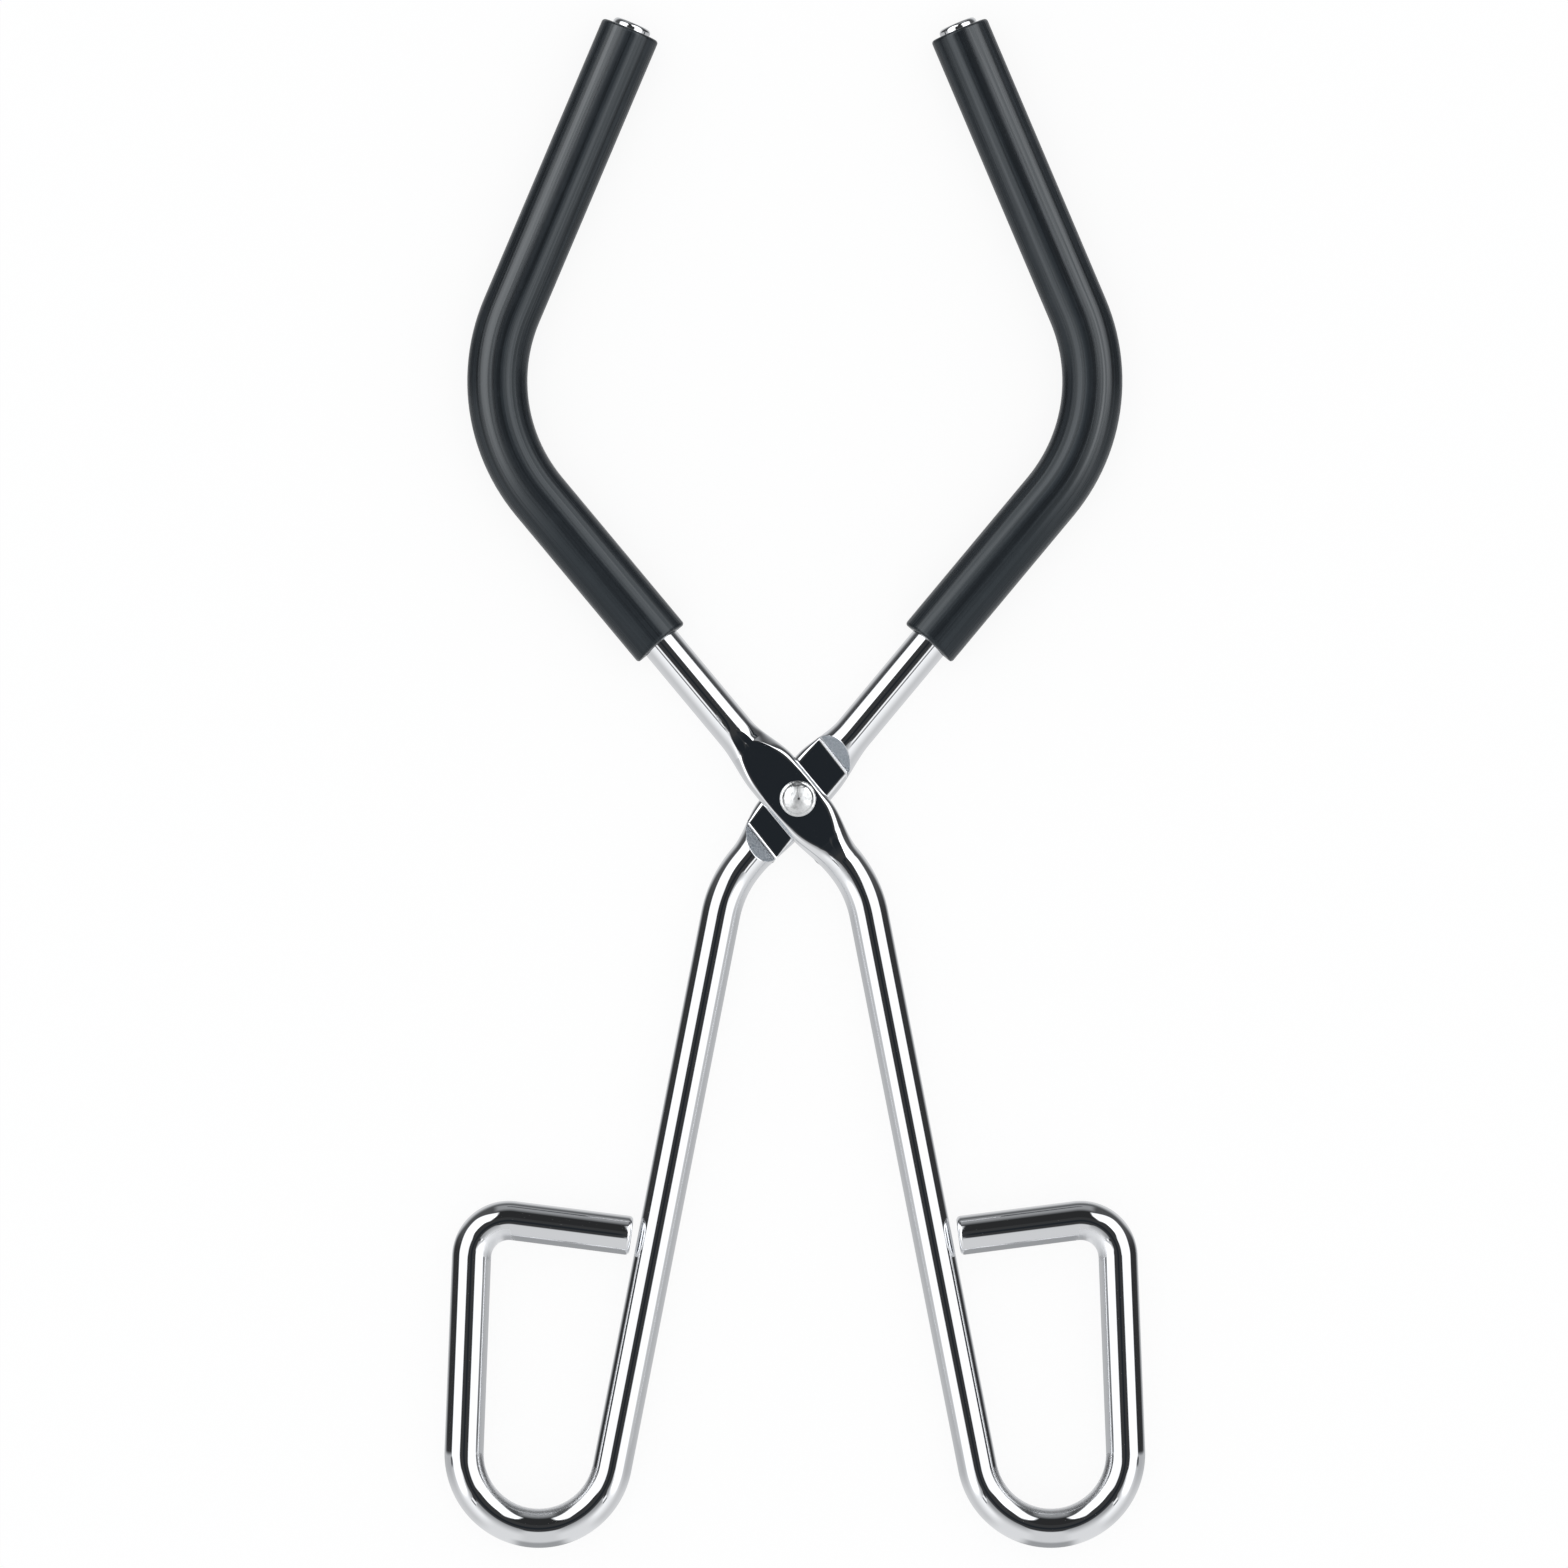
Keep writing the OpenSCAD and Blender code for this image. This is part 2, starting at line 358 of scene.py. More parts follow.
def press_tree(names):
    """Presses a straight bar near station 0: a leaf-shaped flat above, and a notch below.

    A section is two arcs from its widest points, w out and c up: one to the edge of the
    outer flat and one to the edge of the notch's floor. The bar's lengthwise lines are led
    along those edges, and its rings along the notch's skewed shoulders. The shoulders, which
    the die leaves with score marks, are marked in an attribute that makes them rough and that
    also darkens their plating with painted shade. The names are those of press_values.
    """
    tree, given, result = geometry_tree("press_flats", names)
    (radius, half_swell, swell_shift, swell_hold, swell_reach, half_leaf,
     leaf_reach, leaf_shift, outer_face, inner_face, half_notch, notch_reach,
     notch_shift, ramp_run, skew, side_shift) = [Field(tree, given[n]) for n in names]
    x, y, z = separate(tree, tree.nodes.new("GeometryNodeInputPosition").outputs[0])
    side = ramp(tree, y, -HAIR, HAIR, -1, 1)
    share = (y / radius).size().at_most(1)
    past_edge = ((share - EDGE_SHARE) / (1 - EDGE_SHARE)).at_least(0)
    to_edge = (share / EDGE_SHARE).at_most(1)
    middle = (outer_face + inner_face) * 0.5

    def swelling(station):
        """How far the bar is swollen at the station, and its half width there."""
        swell = (station - swell_shift).size().step(swell_reach, swell_hold)
        return swell, mix(radius, half_swell, swell)

    def arc(out, w, edge, height):
        """Height of the arc that stands upright at w and is this high at the edge."""
        gap = w - edge
        turn = (gap * gap + height * height) / (gap * 2)
        past = (out - (w - turn)).at_least(0)
        return (turn * turn - past * past).at_least(0).root()

    def spaced(w, edge):
        """The way out of each lengthwise line, with one of them led along the edge."""
        return edge * to_edge + (w - edge) * past_edge

    # Upper side. The leaf is drawn out into a tongue, but for a blunt corner on the jaw's side
    swell, w = swelling(x)
    c = middle * swell
    from_leaf = x - leaf_shift
    away = from_leaf.size()
    jaw_side, handle_side = from_leaf.step(-1 * MM, 1 * MM), from_leaf.step(1 * MM, -1 * MM)
    drawn_out = from_leaf.math("SIGN") * y / radius

    def leaf_end(start, end):
        """Smooth rise from 0 to 1 between two distances in millimetres past the leaf's end."""
        return away.step(leaf_reach + start * MM, leaf_reach + end * MM)

    fullness = 1 - (away / leaf_reach).math("POWER", LEAF_POWER)
    tongue = ramp(tree, away, leaf_reach - 3 * MM, leaf_reach + TONGUE_RUN, TONGUE_HALF, 0)
    tongue = tongue * drawn_out.step(-0.25, 0.35).at_least(handle_side * THIN_TONGUE)
    leaf = (half_leaf * fullness.at_least(0).root()).at_least(tongue)
    flat = mix(outer_face, radius, leaf_end(0, 5.5))
    narrowest = leaf.at_least(w * 0.34)
    out = spaced(w, mix(narrowest, w * EDGE_SHARE, leaf_end(1, 5)))
    round_side = arc(out, w, leaf, flat - c)
    sloping_side = (w - out) / (w - leaf.at_least(1.3 * MM)) * (flat - c)
    corner = away.step(6.5 * MM, 8.5 * MM) * leaf_end(2.4, -0.3)
    corner = corner * drawn_out.step(0, -0.3) * jaw_side
    lid = flat + leaf_end(2, 6.5) * (0.3 * MM)
    softness = ramp(tree, away, leaf_reach - 1 * MM, leaf_reach + 0.5 * MM, 0.25 * MM, 0.05 * MM)
    upper = (c + mix(round_side, sloping_side, corner * 0.6)).math("SMOOTH_MIN", lid, softness)
    above = combine(tree, x, side * out - side_shift * swell, upper)

    # Notch side. Rings are sheared to the shoulders' skew, away from the widest points
    lean = skew.math("TANGENT")
    under = (-z / radius).step(0, 0.45)
    whole = notch_reach + ramp_run
    from_notch = (x - notch_shift).size()
    within = from_notch.step(whole + 3.5 * MM, whole + 0.5 * MM)
    station = x - y / radius * w * lean * under * within
    swell, w = swelling(station)
    c = middle * swell
    beside = from_notch.step(whole + 2 * MM, notch_reach + 0.5 * MM)
    out = spaced(w, mix(w * EDGE_SHARE, half_notch, beside))
    across = side * out
    bar = c - arc(out, w, 0, c + radius)
    rim_round, foot_round, floor_round = 0.12 * MM, 0.8 * MM, 0.2 * MM
    floor = c - arc(out, w, half_notch, c - inner_face)
    floor = floor.math("SMOOTH_MAX", inner_face, floor_round)
    notch_at = (station - notch_shift + across * lean).size()
    shoulder = inner_face - (notch_at - notch_reach) * ((radius + inner_face) / ramp_run)
    cut = shoulder.math("SMOOTH_MIN", floor, foot_round)
    lower = bar.math("SMOOTH_MAX", cut, rim_round)
    below = combine(tree, station, across - side_shift * swell, lower)

    is_upper = z.math("GREATER_THAN", 0)
    chosen = wired(tree, "GeometryNodeSwitch", is_upper, below, above, input_type="VECTOR")
    near = x.size().math("LESS_THAN", leaf_reach + TONGUE_RUN)
    # Mask of the notch's sloping shoulders: rough with score marks, and darkened by painted shade in
    # the plating
    cut_away = (cut - bar).step(-0.05 * MM, 0.1 * MM)
    sloping = (notch_at - notch_reach).step(0.15 * MM, 0.45 * MM)
    scored = cut_away * sloping * (z / radius).step(0.05, -0.1) * near
    geometry = store(tree, given["Geometry"], "scored", scored)
    plug(tree, set_position(tree, geometry, chosen.outputs[0], near), result)
    return tree


def bend_tree():
    """Carries a straight piece round a path and keeps its straightened shape as 'straight'.

    'pinch' says how much a bend squeezes the surface: the curvature times the way inwards.
    """
    tree, given, result = geometry_tree(
        "bend_along_path", ["Start"], [("Path", "NodeSocketObject")])
    path = add_node(tree, "GeometryNodeObjectInfo", Object=given["Path"]).outputs["Geometry"]
    position = tree.nodes.new("GeometryNodeInputPosition").outputs[0]
    x, y, z = separate(tree, position)
    start = Field(tree, given["Start"])

    def sample(ahead):
        node = wired(tree, "GeometryNodeSampleCurve", mode="LENGTH")
        fill(tree, node, Curves=path, Length=x - start + ahead)
        return node.outputs["Position"], node.outputs["Tangent"]

    centre, tangent = sample(0)
    left = vector_math(tree, "CROSS_PRODUCT", UP, tangent)
    reach = 0.5 * MM
    turned = vector_math(tree, "CROSS_PRODUCT", sample(-reach)[1], sample(reach)[1])
    curvature = separate(tree, turned)[2] / (2 * reach)

    geometry = store(tree, given["Geometry"], "straight", position, "FLOAT_VECTOR")
    geometry = store(tree, geometry, "pinch", curvature * y)
    sideways = wired(tree, "ShaderNodeVectorMath", left, operation="SCALE")
    placed = vector_math(tree, "ADD", centre, fill(tree, sideways, Scale=y).outputs[0])
    placed = vector_math(tree, "ADD", placed, combine(tree, 0, 0, z))
    plug(tree, set_position(tree, geometry, placed), result)
    return tree


def finished(tree, geometry, material, result):
    """Ends a tree with Realize Instances and Set Material."""
    real = add_node(tree, "GeometryNodeRealizeInstances", Geometry=geometry)
    painted = add_node(tree, "GeometryNodeSetMaterial", Geometry=real.outputs[0], Material=material)
    plug(tree, painted.outputs[0], result)


def group_node(tree, group, geometry, given):
    """A node for a nested group whose inputs come from the inputs of the same name."""
    node = wired(tree, "GeometryNodeGroup", node_tree=group)
    plug(tree, geometry, node.inputs["Geometry"])
    for slot in node.inputs:
        if slot.name != "Geometry":
            plug(tree, given[slot.name], slot)
    return node.outputs[0]


def inputs_of(group):
    """The named inputs of a group apart from its geometry, as (name, kind) pairs."""
    sockets = [i for i in group.interface.items_tree if i.in_out == "INPUT"]
    return [(i.name, i.socket_type) for i in sockets if i.name != "Geometry"]


def rod_tree(names):
    """Presses a straight bar, drills it for the rivet and bends it."""
    press, bend = press_tree(names), bend_tree()
    extra = [("Hole Radius", "NodeSocketFloat"), ("Hole Across", "NodeSocketFloat"),
             ("Hole Along", "NodeSocketFloat"), ("Material", "NodeSocketMaterial")]
    tree, given, result = geometry_tree("forged_rod", [], inputs_of(press) + inputs_of(bend) + extra)
    pressed = group_node(tree, press, given["Geometry"], given)
    drill = add_node(tree, "GeometryNodeMeshCylinder", Vertices=DRILL_SIDES,
                     Radius=given["Hole Radius"], Depth=DRILL_LENGTH)
    place = combine(tree, given["Hole Along"], given["Hole Across"], 0)
    drill = add_node(tree, "GeometryNodeTransform", Geometry=drill.outputs[0], Translation=place)
    cut = wired(tree, "GeometryNodeMeshBoolean", operation="DIFFERENCE", solver="EXACT")
    fill(tree, cut, Mesh_1=pressed, Mesh_2=drill.outputs[0])
    bent = group_node(tree, bend, cut.outputs["Mesh"], given)
    finished(tree, bent, given["Material"], result)
    return tree


def sleeve_tree():
    """Cuts the lower end of a straight tube hollow and bends the tube."""
    bend = bend_tree()
    extra = [("Lower End", "NodeSocketFloat"), ("Hollow", "NodeSocketFloat"),
             ("Radius", "NodeSocketFloat"), ("Material", "NodeSocketMaterial")]
    tree, given, result = geometry_tree("jaw_tube", [], inputs_of(bend) + extra)
    x, y, z = separate(tree, tree.nodes.new("GeometryNodeInputPosition").outputs[0])
    lower_end, hollow, radius = [Field(tree, given[n]) for n in ("Lower End", "Hollow", "Radius")]
    near = x.step(lower_end + HOLLOW_RUN, lower_end)
    facing = (z / radius) * (z / radius)
    cut = combine(tree, x + hollow * near * facing, y, z)
    tube = set_position(tree, given["Geometry"], cut)
    bent = group_node(tree, bend, tube, given)
    finished(tree, bent, given["Material"], result)
    return tree


# ---------------------------------------------------------------- meshes


def link(name, data):
    made = bpy.data.objects.new(name, data)
    bpy.context.scene.collection.objects.link(made)
    return made


def turned_blank(name, outline, axis_up=False, closed=False):
    """Object turned from an outline of (station, radius) points, about X or, if asked, about Z."""
    mesh = bmesh.new()
    steps = [2 * math.pi * k / COLUMNS for k in range(COLUMNS)]

    def ring(station, radius):
        around = [(radius * math.cos(a), radius * math.sin(a)) for a in steps]
        if radius == 0:
            around = [(0, 0)]
        if axis_up:
            return [mesh.verts.new((u, v, station)) for u, v in around]
        return [mesh.verts.new((station, u, v)) for u, v in around]

    rings = [ring(*point) for point in outline]
    for low, high in zip(rings, rings[1:] + (rings[:1] if closed else [])):
        for k in range(COLUMNS):
            n = k + 1
            corners = [low[k % len(low)], low[n % len(low)], high[n % len(high)], high[k % len(high)]]
            mesh.faces.new(list(dict.fromkeys(corners))).smooth = True
    data = bpy.data.meshes.new(name)
    mesh.to_mesh(data)
    mesh.free()
    return link(name, data)


def spread(start, end, step):
    """Even stations from start towards end, at most a step apart, without the end itself."""
    count = max(1, math.ceil(abs(end - start) / step - HAIR))
    return [start + (end - start) * k / count for k in range(count)]


def rounded(station, radius, corner, way):
    """Quarter round between a flank of this radius and an end face at this station.

    way is +1 where the outline leaves the flank, and -1 where it comes back to it.
    """
    turns = [math.pi / 2 * k / ROUND_STEPS for k in range(ROUND_STEPS + 1)]
    points = [(corner * math.sin(t), corner * (math.cos(t) - 1)) for t in turns]
    if way < 0:
        points = [(-dx, dr) for dx, dr in reversed(points)]
    return [(station - way * corner + dx, radius + dr) for dx, dr in points]


def shape(blank, tree, values, turn=None):
    """Runs the tree on the blank with these input values and returns the plain mesh."""
    modifier = blank.modifiers.new("shape", "NODES")
    modifier.node_group = tree
    for item in tree.interface.items_tree:
        if item.in_out == "INPUT" and item.name in values:
            modifier[item.identifier] = values[item.name]
    depsgraph = bpy.context.evaluated_depsgraph_get()
    mesh = bpy.data.meshes.new_from_object(
        blank.evaluated_get(depsgraph), preserve_all_data_layers=True, depsgraph=depsgraph)
    blank.modifiers.remove(modifier)
    if turn is not None:
        mesh.transform(turn)
    mesh.set_sharp_from_angle(angle=BAR_EDGE)
    return mesh


def finish_piece(name, mesh, body, node, material=None):
    """Puts a mesh in the scene as the piece that stands for a CAD node."""
    if len(mesh.polygons) == 0:
        raise RuntimeError(f"{name} came out empty")
    mesh.name = name
    if material is not None:
        mesh.materials.clear()
        mesh.materials.append(material)
    piece = link(name, mesh)
    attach(piece, body)
    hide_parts(node)
    return piece


# ---------------------------------------------------------------- the rods' centre line


def crossing_point():
    """Where the rods' centre lines cross, found from the hinge."""
    press = bpy.context.scene.lifter_press
    return PIVOT - Vector((press.rivet_x, press.rivet_y, 0))


def jaw_steps(rod):
    """The rod from its crossing to its tip, as (straight run, turn, bend radius) steps."""
    return [(rod.jaw_lower, -rod.jaw_bend, rod.jaw_radius), (rod.jaw_upper, 0, 0)]


def handle_steps(rod):
    """The rod from its crossing to the loop's free end, in the same way."""
    return [
        (rod.neck, -rod.neck_bend, rod.neck_radius),
        (rod.shaft, rod.loop_bend, rod.loop_radius),
        (rod.limb, rod.corner_bend, rod.corner_radius),
        (rod.bar, 0, 0),
    ]


def jaw_heading(rod):
    """The way from the crossing to the jaw, as an angle from +X."""
    return math.pi / 2 + rod.crossing


def total_run(steps):
    return sum(run + abs(turn) * radius for run, turn, radius in steps)


def centre_line(start, heading, steps):
    """Points along straights and round bends that leave the start with this heading."""
    here, points = start.copy(), []
    for run, turn, radius in steps:
        way = Vector((math.cos(heading), math.sin(heading), 0))
        points += [here + way * d for d in spread(0, run, STRAIGHT_STEP)]
        here = here + way * run
        if turn:
            towards = UP.cross(way) * math.copysign(radius, turn)
            centre = here + towards
            for t in spread(0, turn, PATH_STEP):
                points.append(centre + Matrix.Rotation(t, 3, "Z") @ -towards)
            here = centre + Matrix.Rotation(turn, 3, "Z") @ -towards
            heading += turn
    return points + [here]


def path_object(rod):
    """The rod's centre line as a curve from the loop's free end to the jaw's tip."""
    heading = jaw_heading(rod)
    crossing = crossing_point()
    jaw = centre_line(crossing, heading, jaw_steps(rod))
    handle = centre_line(crossing, heading - math.pi, handle_steps(rod))
    points = handle[:0:-1] + jaw
    curve = bpy.data.curves.new("rod_path", "CURVE")
    curve.dimensions = "3D"
    spline = curve.splines.new("POLY")
    spline.points.add(len(points) - 1)
    for target, point in zip(spline.points, points):
        target.co = (*point, 1)
    return link("rod_path", curve)


def stations(steps, end, start=0):
    """Stations from start to end along one side of the rod, closer together in its bends."""
    found, here = [], 0
    for run, turn, radius in steps:
        found += spread(here, here + run, STRAIGHT_STEP)
        here += run
        if turn:
            found += spread(here, here + abs(turn) * radius, BEND_STEP * radius)
            here += abs(turn) * radius
    return [s for s in found if start < s < end]


def rear_turn():
    """The rear rod is the front one turned over about the line through the crossing."""
    crossing = crossing_point()
    to, back = Matrix.Translation(-crossing), Matrix.Translation(crossing)
    return back @ Matrix.Rotation(math.pi, 4, "Y") @ to


# ---------------------------------------------------------------- materials


def shader_group(name, inputs, outputs):
    """A shader node group with float inputs (name, value) after a Vector, and float outputs."""
    group = bpy.data.node_groups.new(name, "ShaderNodeTree")
    group.interface.new_socket("Vector", in_out="INPUT", socket_type="NodeSocketVector")
    for label, value in inputs:
        socket = group.interface.new_socket(label, in_out="INPUT", socket_type="NodeSocketFloat")
        socket.default_value = value
    for label in outputs:
        group.interface.new_socket(label, in_out="OUTPUT", socket_type="NodeSocketFloat")
    entry = group.nodes.new("NodeGroupInput").outputs
    leave = group.nodes.new("NodeGroupOutput").inputs
    return group, entry, leave


def streaks_group():
    """Fine lines along a piece, as drawing, polishing or a die leaves them."""
    group, given, result = shader_group(
        "length_streaks", [("Scale", 1500.0), ("Stretch", 60.0), ("Amount", 1.0)], ["Streaks"])
    lengthwise = Field(group, given["Stretch"]).math("POWER", -1)
    squeezed = vector_math(group, "MULTIPLY", given["Vector"], combine(group, lengthwise, 1, 1))
    node = add_node(group, "ShaderNodeTexNoise", Vector=squeezed, Scale=given["Scale"], Detail=3.0)
    value = (Field(group, node.outputs[0]) - 0.5) * Field(group, given["Amount"])
    plug(group, value, result["Streaks"])
    return group


def handling_group():
    """Soft clouded patches where hands and steam have dulled a surface."""
    group, given, result = shader_group("handling_marks", [("Scale", 90.0), ("Amount", 1.0)], ["Marks"])
    node = add_node(group, "ShaderNodeTexNoise", Vector=given["Vector"], Scale=given["Scale"],
                    Detail=4.0, Roughness=0.6)
    patches = Field(group, node.outputs[0]).step(0.45, 0.75)
    plug(group, patches * Field(group, given["Amount"]), result["Marks"])
    return group


def use_group(tree, group, vector, **values):
    node = wired(tree, "ShaderNodeGroup", vector, node_tree=group)
    return Field(tree, fill(tree, node, **values).outputs[0])


def attribute(tree, name):
    node = wired(tree, "ShaderNodeAttribute", attribute_name=name)
    return node.outputs["Vector"], Field(tree, node.outputs["Fac"])


def new_material(name):
    material = bpy.data.materials.new(name)
    material.use_nodes = True
    tree = material.node_tree
    return material, tree, tree.nodes["Principled BSDF"]


def bump(tree, height, strength, distance):
    values = {"Strength": strength, "Distance": distance, "Height": height}
    return add_node(tree, "ShaderNodeBump", **values).outputs[0]


def tint(tree, shader, share, one, other):
    """Colours the shader between two colours by the share."""
    node = wired(tree, "ShaderNodeMix", data_type="RGBA")
    fill(tree, node, Factor=share, A=(*one, 1), B=(*other, 1))
    plug(tree, node.outputs["Result"], shader.inputs["Base Color"])


def glossy_ray(tree):
    """1 for a ray that comes by way of a mirroring surface, otherwise 0."""
    return Field(tree, tree.nodes.new("ShaderNodeLightPath").outputs["Is Glossy Ray"])


def shared_groups():
    """The effects that more than one material uses, made once."""
    groups = bpy.data.node_groups
    if "length_streaks" not in groups:
        streaks_group()
        handling_group()
    return groups["length_streaks"], groups["handling_marks"]


def plating_material(rod):
    """Bright chrome plate: faint drawing lines, ripples inside bends, and score-marked shoulders
    darkened by painted shade.
    """
    streaks, marks = shared_groups()
    material, tree, shader = new_material("plated_rod")
    shader.inputs["Metallic"].default_value = 1
    straight = attribute(tree, "straight")[0]
    pinch = attribute(tree, "pinch")[1]
    scored = attribute(tree, "scored")[1]
    dulled = use_group(tree, marks, straight, Scale=160.0, Amount=0.02)
    lines = use_group(tree, streaks, straight, Scale=900.0, Stretch=60.0, Amount=1.0)
    scores = use_group(tree, streaks, straight, Scale=3500.0, Stretch=8.0, Amount=1.0)
    ripples = add_node(tree, "ShaderNodeTexNoise", Vector=straight, Scale=1100.0, Detail=2.0)
    wrinkled = pinch.step(0.12, 0.25)

    bright_rough, wrinkled_rough, scored_rough = 0.035, 0.28, 0.45
    rough = dulled + bright_rough + wrinkled * wrinkled_rough
    rough = rough + scored * (scores * 0.6 + scored_rough)
    plug(tree, rough, shader.inputs["Roughness"])
    # Painted shade: the shoulders' plating is tinted towards the darker colour, streaked by the score
    # marks
    tint(tree, shader, scored * (0.8 - scores), rod.plating, rod.scored)

    line_depth, ripple_depth, score_depth = 0.02, 1.5, 2.2
    squeezed = wrinkled * (Field(tree, ripples.outputs[0]) - 0.5)
    height = lines * line_depth + squeezed * ripple_depth + scored * scores * score_depth
    plug(tree, bump(tree, height, 1.0, 0.01 * MM), shader.inputs["Normal"])
    return material


def rubber_material(sleeve):
    """Black extruded rubber: die lines run along it, most of all on the bend's outer side."""
    streaks, marks = shared_groups()
    material, tree, shader = new_material("jaw_rubber")
    straight = attribute(tree, "straight")[0]
    lines = use_group(tree, streaks, straight, Scale=1700.0, Stretch=110.0, Amount=1.0)
    dust = use_group(tree, marks, straight, Scale=220.0, Amount=1.0)
    station, sideways = separate(tree, straight)[:2]
    across = sideways / sleeve.diameter

    dark = [c * 0.6 for c in sleeve.rubber]
    light = [min(1, c * 1.8) for c in sleeve.rubber]
    drawn = mix(0.6, 2.0, station.step(50 * MM, 75 * MM))
    tint(tree, shader, dust * 0.12 + lines * drawn + 0.36, dark, light)
    plug(tree, lines * 0.3 + dust * 0.05 + 0.27, shader.inputs["Roughness"])
    shader.inputs["Specular IOR Level"].default_value = 0.3
    shader.inputs["Specular Tint"].default_value = (0.8, 0.93, 1, 1)

    # A sheen along the top: strong outside the middle of the bend, weaker inside it
    outer = across.step(-0.03, 0.08) * across.step(0.4, 0.3) * station.step(54 * MM, 84 * MM)
    inner = across.step(-0.06, -0.15) * across.step(-0.4, -0.3)
    sheen = outer * (lines * 3.5 + 1) + inner * (lines * 1.5 + 0.45)
    plug(tree, sheen.at_least(0), shader.inputs["Coat Weight"])
    shader.inputs["Coat Roughness"].default_value = 0.26
    plug(tree, bump(tree, lines, 0.8, 0.08 * MM), shader.inputs["Normal"])
    return material


def rivet_material(rivet):
    """Nickelled steel, dulled and dented where it was peened, and darkened by painted shade in the
    punch mark's dimple.
    """
    marks = shared_groups()[1]
    material, tree, shader = new_material("rivet_steel")
    shader.inputs["Metallic"].default_value = 1
    place = tree.nodes.new("ShaderNodeTexCoord").outputs["Object"]
    dulled = use_group(tree, marks, place, Scale=900.0, Amount=1.0)
    grain = add_node(tree, "ShaderNodeTexNoise", Vector=place, Scale=1400.0, Detail=3.0)
    x, y = separate(tree, vector_math(tree, "SUBTRACT", place, tuple(PIVOT)))[:2]
    from_dimple = ((x - DIMPLE_OFFSET) * (x - DIMPLE_OFFSET) + y * y).root()
    peened = ((x * x + y * y).root() / rivet.head).step(0.37, 0.31)
    # Painted shade: the middle of the punch mark is darkened as if shadowed in its dimple
    dimple_shade = from_dimple.step(0.28 * MM, 0.12 * MM)

    rim_rough, peened_rough = 0.17, 0.38
    plug(tree, dulled * 0.1 + mix(rim_rough, peened_rough, peened), shader.inputs["Roughness"])
    dark = [c * 0.15 for c in rivet.steel]
    # Tinted darker by the painted shade in the dimple and by the random handling marks
    tint(tree, shader, dimple_shade * 0.9 + dulled * 0.4, rivet.steel, dark)
    plug(tree, bump(tree, grain.outputs[0], 1.0, 0.09 * MM), shader.inputs["Normal"])
    return material


# ---------------------------------------------------------------- pieces


def bar_outline(rod, press):
    """Outline of the straight bar, from the loop's free end to the jaw's tip.

    Its rings are close together over the notch's shoulders and the leaf's ends.
    """
    radius, bevel = rod.diameter / 2, rod.end_bevel
    jaw, handle = total_run(jaw_steps(rod)), total_run(handle_steps(rod))
    shoulder = press.notch_length / 2
    low, high = shoulder - 0.8 * MM, shoulder + press.ramp + 0.6 * MM
    borders = [-high, -low, low, high, press.swell_reach + 5 * MM]
    borders = [-rod.neck] + [b + press.notch_shift for b in borders]
    middle = []
    for k, (here, there) in enumerate(zip(borders, borders[1:])):
        middle += spread(here, there, SHOULDER_STEP if k % 2 else PRESS_STEP)
    inner = [-s for s in stations(handle_steps(rod), handle - bevel, rod.neck)][::-1]
    outer = stations(jaw_steps(rod), jaw - bevel, borders[-1])
    return (
        [(-handle, 0)]
        + rounded(-handle, radius, bevel, -1)
        + [(s, radius) for s in inner + middle + outer]
        + rounded(jaw, radius, bevel, 1)
        + [(jaw, 0)]
    )


def press_values(rod, press):
    """The press tree's inputs, in the order in which it takes them."""
    return {
        "Radius": rod.diameter / 2,
        "Half Swell": press.swell_width / 2,
        "Swell Shift": press.swell_shift,
        "Swell Hold": press.swell_hold,
        "Swell Reach": press.swell_reach,
        "Half Leaf": press.leaf_width / 2,
        "Leaf Reach": press.leaf_length / 2,
        "Leaf Shift": press.leaf_shift,
        "Outer Face": press.face_gap / 2 + press.thickness,
        "Inner Face": press.face_gap / 2,
        "Half Notch": press.notch_width / 2,
        "Notch Reach": press.notch_length / 2,
        "Notch Shift": press.notch_shift,
        "Ramp": press.ramp,
        "Skew": press.skew,
        "Side Shift": press.side_shift,
    }


def make_rods():
    scene = bpy.context.scene
    rod, press, rivet = scene.lifter_rod, scene.lifter_press, scene.lifter_rivet
    blank = turned_blank("blank", bar_outline(rod, press))
    path = path_object(rod)
    heading = jaw_heading(rod)
    across = Vector((-math.sin(heading), math.cos(heading), 0))
    along = Vector((math.cos(heading), math.sin(heading), 0))
    pressed = press_values(rod, press)
    tree = rod_tree(list(pressed))
    values = pressed | {
        "Start": -total_run(handle_steps(rod)),
        "Path": path,
        "Material": plating_material(rod),
    }
    for name, body, node, hole, mirrored in (
        ("front_bent_rod", "front_arm", "front_rod", press.hole, 1),
        ("rear_bent_rod", "rear_arm", "rear_rod", rivet.shank, -1),
    ):
        there = Vector((press.rivet_x * mirrored, press.rivet_y, 0))
        values["Hole Radius"] = hole / 2
        values["Hole Along"] = there.dot(along)
        values["Hole Across"] = there.dot(across)
        turn = rear_turn() if mirrored < 0 else None
        finish_piece(name, shape(blank, tree, values, turn), body, node)
    bpy.data.objects.remove(blank)
    bpy.data.objects.remove(path)


